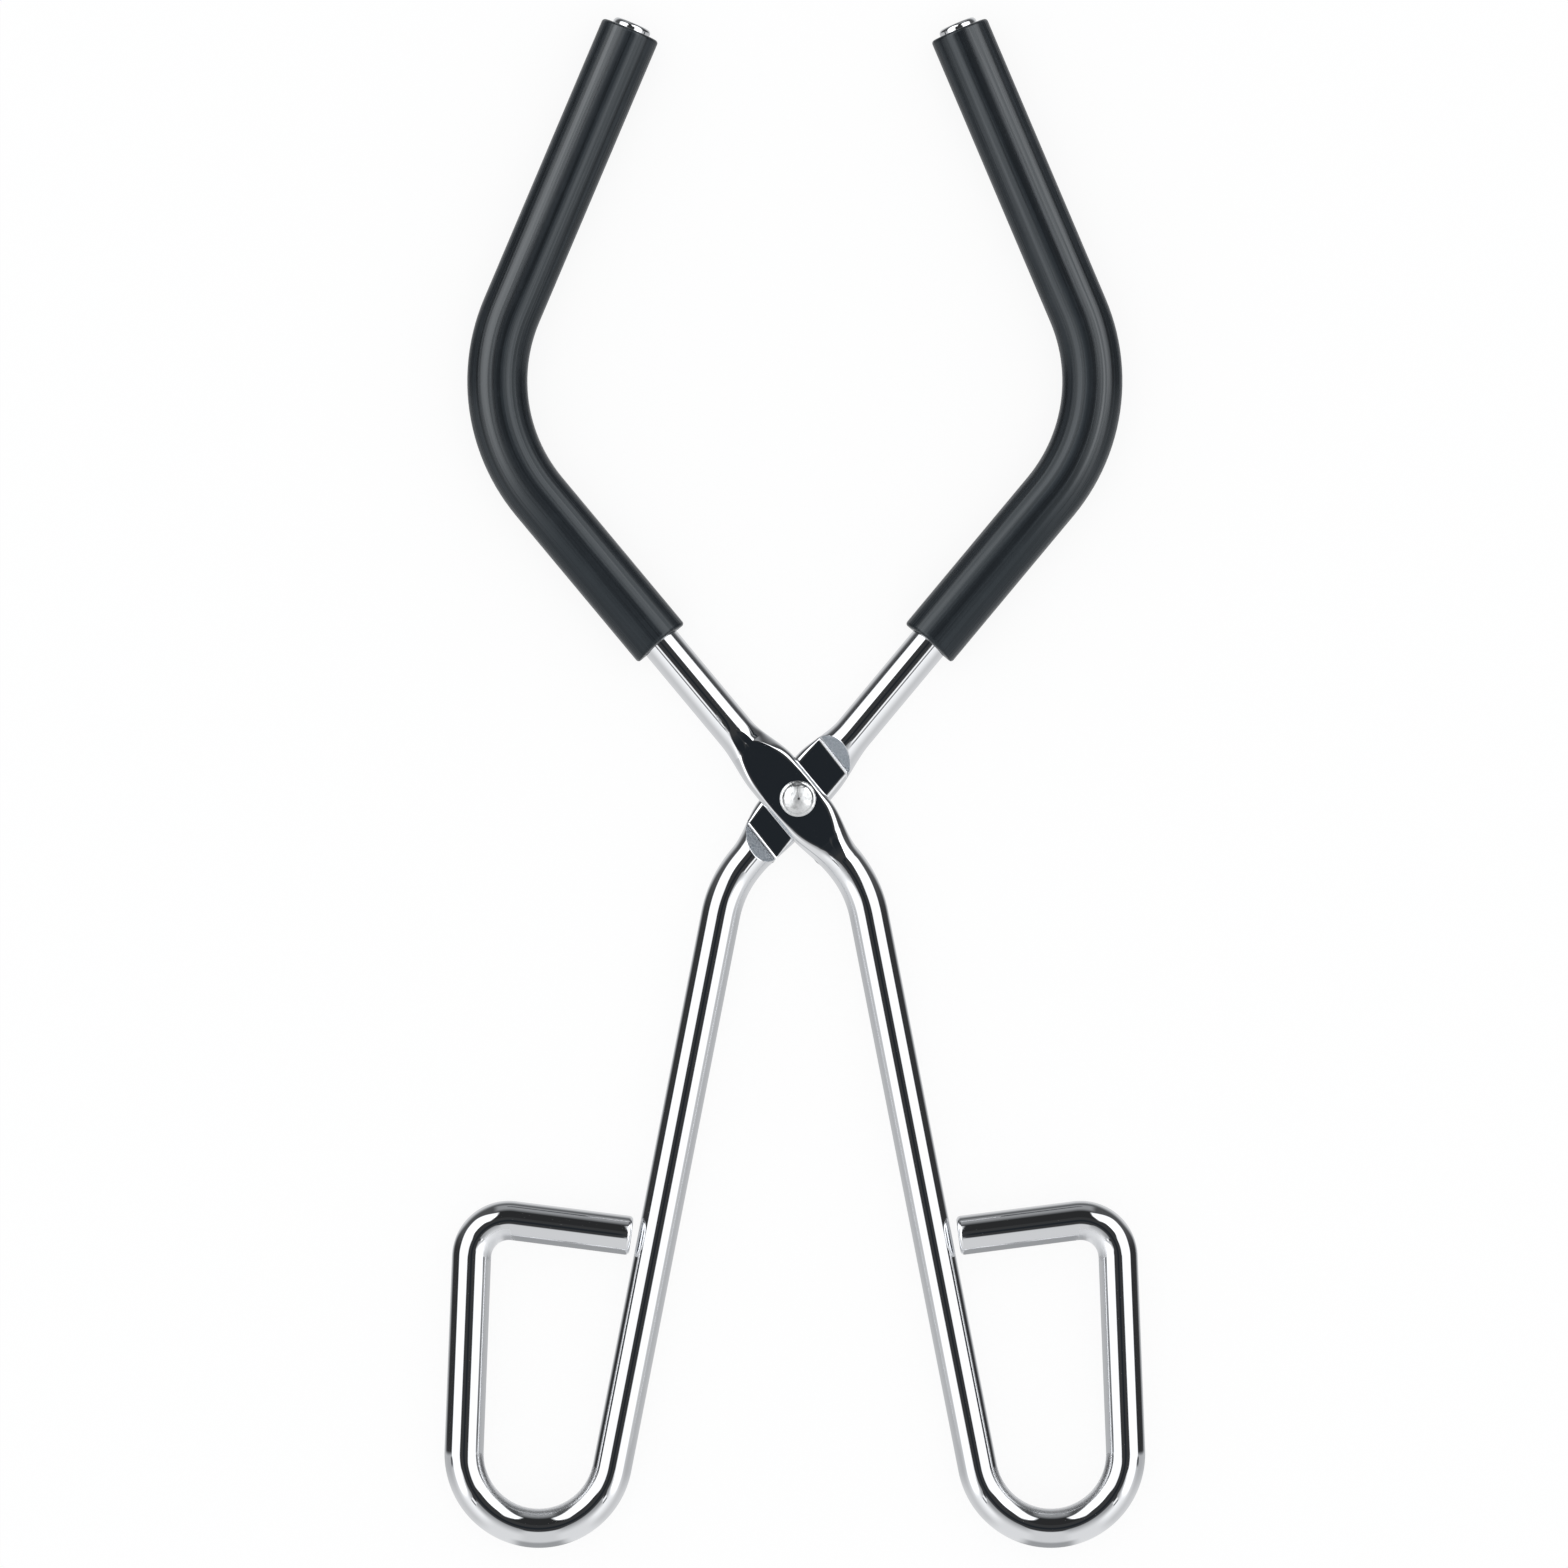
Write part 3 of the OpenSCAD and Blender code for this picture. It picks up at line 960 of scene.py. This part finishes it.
def make_sleeves():
    scene = bpy.context.scene
    rod, sleeve = scene.lifter_rod, scene.lifter_sleeve
    radius, bore = sleeve.diameter / 2, rod.diameter / 2 + sleeve.clearance
    lip, inner_lip = sleeve.lip, 0.25 * MM
    close_run, close_step = 2 * MM, 0.3 * MM
    start, end = sleeve.start, total_run(jaw_steps(rod)) - sleeve.tip_show
    between = stations(jaw_steps(rod), end - close_run, start + close_run)
    near_start = spread(start + lip, start + close_run, close_step)[1:]
    near_end = [end + start - s for s in reversed(near_start)]
    flank = near_start + between + near_end
    outline = (
        rounded(start, radius, lip, -1)
        + [(s, radius) for s in flank]
        + rounded(end, radius, lip, 1)
        + [(end, bore + inner_lip), (end - inner_lip, bore)]
        + [(s, bore) for s in reversed(flank)]
        + [(start + inner_lip, bore), (start, bore + inner_lip)]
    )
    blank = turned_blank("blank", outline, closed=True)
    path = path_object(rod)
    values = {
        "Start": -total_run(handle_steps(rod)),
        "Path": path,
        "Lower End": start,
        "Hollow": sleeve.hollow,
        "Radius": radius,
        "Material": rubber_material(sleeve),
    }
    tree = sleeve_tree()
    left, right = shape(blank, tree, values), shape(blank, tree, values, rear_turn())
    finish_piece("left_rubber_sleeve", left, "front_arm", "left_jaw_sleeve")
    finish_piece("right_rubber_sleeve", right, "rear_arm", "right_jaw_sleeve")
    bpy.data.objects.remove(blank)
    bpy.data.objects.remove(path)


def make_rivet():
    scene = bpy.context.scene
    press, rivet = scene.lifter_press, scene.lifter_rivet
    outer = press.face_gap / 2 + press.thickness
    base = outer + press.face_gap / 2
    head, tail, shank = rivet.head / 2, rivet.tail / 2, rivet.shank / 2

    def dome(radius, height):
        """Outline of a low head, from its rim up to its middle, as (height, radius) points."""
        shares = [(0, 1), (0.14, 1), (0.225, 0.987), (0.275, 0.96), (0.313, 0.92), (0.344, 0.873),
                  (0.388, 0.853), (0.5, 0.8), (0.55, 0.767)]
        waist, edge = shares[-1]
        inwards = [edge * k / 14 for k in range(13, 0, -1)]
        shares += [(1 - (1 - waist) * (r / edge) ** 2, r) for r in inwards]
        shares.append((1 - DIMPLE_DEPTH / height, 0))
        return [(h * height, r * radius) for h, r in shares]

    outline = (
        [(-outer - h, r) for h, r in reversed(dome(tail, rivet.tail_height))]
        + [(-outer, shank), (base, shank)]
        + [(base + h, r) for h, r in dome(head, rivet.head_height)]
    )
    blank = turned_blank("blank", outline, axis_up=True)
    mesh = blank.data.copy()
    bpy.data.objects.remove(blank)
    for vertex in mesh.vertices:
        centring = max(0, 1 - vertex.co.xy.length / DIMPLE_REACH)
        vertex.co.x += DIMPLE_OFFSET * centring if vertex.co.z > 0 else 0
    mesh.transform(Matrix.Translation(PIVOT))
    mesh.set_sharp_from_angle(angle=RIVET_EDGE)
    material = rivet_material(rivet)
    finish_piece("clenched_rivet", mesh, "rear_arm", "pivot_rivet", material)


# ---------------------------------------------------------------- studio


def studio_world(studio):
    """White to the camera. To mirrors it is a tent: softboxes, pale walls and a dark hood.

    Polar is the angle from straight up. Swing is the turn out of the plane that stands
    across the lifter, positive towards the jaws. Both are in degrees, and a step or ramp
    between two of them is a soft edge in the tent.
    """
    world = bpy.data.worlds.new("studio")
    world.use_nodes = True
    world.cycles.sampling_method = "NONE"
    bpy.context.scene.world = world
    tree = world.node_tree
    x, y, z = separate(tree, tree.nodes.new("ShaderNodeTexCoord").outputs["Generated"])
    across = x.size()
    polar = z.math("ARCCOSINE") * (180 / math.pi)
    swing = y.math("ARCTAN2", across.at_least(HAIR)) * (180 / math.pi)

    jaws_side = swing.step(-4, -1)
    beside_boxes = swing.step(-60, -46)
    under_boxes = swing.step(-36, -26)
    stand = (swing + 39).size().step(3, 2)
    haze = swing.step(-14, -30) * (1 - stand)

    # Walls on the handles' side: bright by the softboxes, duller low down and far back
    bright = ramp(tree, polar, 44, 98, 1.46, 0.89) * ramp(tree, polar, 96, 140, 1, 1.1)
    bright = bright * ramp(tree, swing, -32, -8, 1, 0.74)
    bright = bright * mix(1, ramp(tree, polar, 22, 52, 0.35, 1), haze)
    low_down = ramp(tree, polar, 82, 104, 1, 0.52)
    plain = ramp(tree, polar, 4, 56, 0.42, 1.11) * mix(1, low_down, swing.step(-70, -80))
    furthest = ramp(tree, polar, 12, 24, 0.42, 0.97) * low_down
    plain = mix(plain, furthest, swing.step(-74, -82))
    near_walls = mix(plain, bright, beside_boxes) * studio.walls
    # Walls on the jaws' side: dark, with a doorway, above the pale ground in front of them
    ground_from = 121 - 18 * swing.step(15, 38) + 4 * swing.step(60, 80)
    dark = ramp(tree, swing, 6, 30, 0.4, 1) * studio.far_side
    far_walls = mix(dark, PALE_GROUND, (polar - ground_from).step(0, 40))
    doorway = across.step(0.34, 0.2) * polar.step(58, 80) * polar.step(114, 96)
    far_walls = mix(far_walls, DOORWAY, doorway)
    tent = mix(near_walls, far_walls, jaws_side)
    # A dark gap between them, at the sides
    gap = swing.step(-12, -8.5) * swing.step(-3, -5) * polar.step(66, 70) * polar.step(87, 84)
    tent = mix(tent, SIDE_GAP, gap)
    # Softboxes
    box_rim = 76 + 7 * swing.step(12, 36) - 27 * swing.step(45, 76) - 5 * swing.step(-2.5, -7)
    core = (polar - box_rim).step(-4, -22) * polar.step(28, 42) * under_boxes
    lit = (polar - box_rim).step(2, -2) * under_boxes * mix(1, polar.step(20, 34), haze)
    tent = mix(tent, mix(studio.softbox, studio.core, core), lit)
    # Dark ceiling strip over the jaws, and the hood round the camera
    strip = across.step(0.22, 0.17) * y.step(0, 0.1) * polar.step(64, 56)
    tent = mix(tent, studio.hood * 0.75, strip)
    hood_rim = 20.5 + 8.5 * (swing - 42).size().step(22, 8) + 4 * (swing + 10).size().step(12, 4)
    hood_rim = hood_rim + 7.5 * stand - 6 * swing.step(-20, -56) + 4.5 * swing.step(-74, -80)
    softness = 1.5 + 1.5 * haze
    hood = studio.hood * ramp(tree, polar, 2, 8, 0.58, 1.18)
    tent = mix(tent, hood, (polar - hood_rim).step(softness, -softness))
    # Stand of the light on the handles' side
    tent = mix(tent, LIGHT_STAND, stand * polar.step(33.5, 35) * polar.step(42, 40))

    # The hood is bluish, most of all next to the camera
    glossy = glossy_ray(tree)
    blue = ramp(tree, polar, 2, 8, 1, 0.12) * tent.step(0.8, 0) * glossy
    hue = combine(tree, 0.985 - 0.2 * blue, 0.99 - 0.03 * blue, 1 + 0.17 * blue)
    background = tree.nodes["Background"]
    plug(tree, hue, background.inputs["Color"])
    plug(tree, mix(1, tent, glossy), background.inputs["Strength"])


def floor_material(studio):
    """White floor whose own glow leaves only a trace of the shadow. Mirrors look past it."""
    material, tree, shader = new_material("studio_floor")
    shader.inputs["Base Color"].default_value = (*FLOOR_WHITE, 1)
    shader.inputs["Roughness"].default_value = 1
    shader.inputs["Specular IOR Level"].default_value = 0
    glow = add_node(tree, "ShaderNodeEmission", Color=(1, 1, 1, 1))
    looks = (studio.floor_shade, glow.outputs[0], shader.outputs[0])
    seen = wired(tree, "ShaderNodeMixShader", *looks)
    behind = Field(tree, tree.nodes.new("ShaderNodeNewGeometry").outputs["Backfacing"])
    clear = tree.nodes.new("ShaderNodeBsdfTransparent")
    hidden = glossy_ray(tree).at_least(behind)
    whole = wired(tree, "ShaderNodeMixShader", hidden, seen.outputs[0], clear.outputs[0])
    plug(tree, whole.outputs[0], tree.nodes["Material Output"].inputs["Surface"])
    return material


def make_stage():
    scene = bpy.context.scene
    studio = scene.lifter_studio
    studio_world(studio)

    half = FLOOR_HALF
    corners = [(-half, -half, 0), (half, -half, 0), (half, half, 0), (-half, half, 0)]
    mesh = bpy.data.meshes.new("floor")
    mesh.from_pydata(corners, [], [(0, 1, 2, 3)])
    mesh.materials.append(floor_material(studio))
    link("floor", mesh)

    camera = bpy.data.cameras.new("camera")
    camera.lens = camera.sensor_width * studio.distance / studio.view_width
    camera.clip_end = 10
    eye = link("camera", camera)
    eye.location = (studio.aim_x, studio.aim_y, PIVOT.z + studio.distance)
    scene.camera = eye
    scene.view_settings.view_transform = "Standard"


# ---------------------------------------------------------------- add-on


class LIFTER_OT_rods(bpy.types.Operator):
    """Build the two bent rods"""

    bl_idname = "lifter.rods"
    bl_label = "Bent Rods"

    def execute(self, context):
        make_rods()
        return {"FINISHED"}


class LIFTER_OT_sleeves(bpy.types.Operator):
    """Build the two rubber jaw sleeves"""

    bl_idname = "lifter.sleeves"
    bl_label = "Jaw Sleeves"

    def execute(self, context):
        make_sleeves()
        return {"FINISHED"}


class LIFTER_OT_rivet(bpy.types.Operator):
    """Build the rivet that holds the rods together"""

    bl_idname = "lifter.rivet"
    bl_label = "Rivet"

    def execute(self, context):
        make_rivet()
        return {"FINISHED"}


class LIFTER_OT_stage(bpy.types.Operator):
    """Build the floor, light tent and camera"""

    bl_idname = "lifter.stage"
    bl_label = "Stage"

    def execute(self, context):
        make_stage()
        return {"FINISHED"}


class LIFTER_PT_panel(bpy.types.Panel):
    """Sidebar panel with the pieces and the stage"""

    bl_label = "Jar Lifter"
    bl_space_type = "VIEW_3D"
    bl_region_type = "UI"
    bl_category = "Jar Lifter"

    def draw(self, context):
        for operator in OPERATORS:
            self.layout.operator(operator.bl_idname)
        for name in SETTINGS:
            group = getattr(context.scene, name)
            box = self.layout.box()
            for key in group.__annotations__:
                box.prop(group, key)


OPERATORS = (LIFTER_OT_stage, LIFTER_OT_rods, LIFTER_OT_sleeves, LIFTER_OT_rivet)
SETTINGS = {
    "lifter_rod": RodSettings,
    "lifter_press": PressSettings,
    "lifter_sleeve": SleeveSettings,
    "lifter_rivet": RivetSettings,
    "lifter_studio": StudioSettings,
}


def register():
    for cls in (*SETTINGS.values(), *OPERATORS, LIFTER_PT_panel):
        bpy.utils.register_class(cls)
    for name, cls in SETTINGS.items():
        setattr(bpy.types.Scene, name, PointerProperty(type=cls))


def unregister():
    for name in SETTINGS:
        delattr(bpy.types.Scene, name)
    for cls in (LIFTER_PT_panel, *reversed(OPERATORS), *reversed(SETTINGS.values())):
        bpy.utils.unregister_class(cls)


def main():
    register()
    bpy.ops.lifter.stage()
    bpy.ops.lifter.rods()
    bpy.ops.lifter.sleeves()
    bpy.ops.lifter.rivet()


if __name__ == "__main__":
    main()
